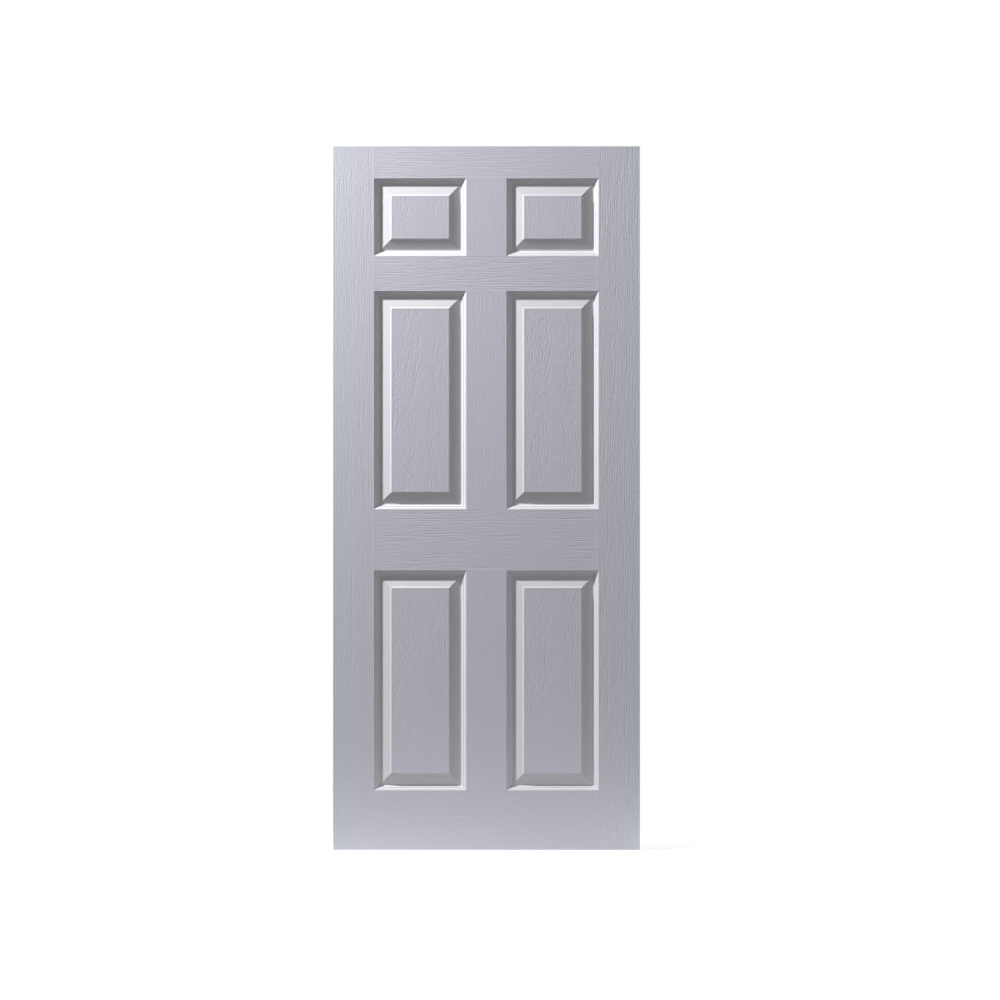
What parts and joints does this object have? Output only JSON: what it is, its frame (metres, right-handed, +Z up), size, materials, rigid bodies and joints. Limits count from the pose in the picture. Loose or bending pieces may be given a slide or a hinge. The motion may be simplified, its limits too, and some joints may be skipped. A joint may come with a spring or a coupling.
{
  "type": "six-panel door leaf",
  "caption": "Moulded interior door leaf with raised panels: pressed wood-grained fibreboard skins over a softwood frame, lock blocks and a paper honeycomb core.",
  "frame": {"origin": "middle of the leaf's bottom edge, halfway through its thickness", "axes": "+Z up the leaf, +X to the right as seen from the front, the front face towards -Y"},
  "size_m": [0.864, 0.035, 1.981],
  "materials": {
    "primed_skin": "white primer, satin, over pressed grain",
    "softwood": "planed and unfinished",
    "core_paper": "plain kraft paper",
    "staple_wire": "galvanised wire"
  },
  "bodies": {
    "root": {"front_skin": "primed_skin", "back_skin": "primed_skin", "left_stile": "softwood", "right_stile": "softwood", "top_rail": "softwood", "bottom_rail": "softwood", "left_lock_block": "softwood", "right_lock_block": "softwood", "paper_core": "core_paper", "corner_staples": "staple_wire"}
  },
  "joints": []
}
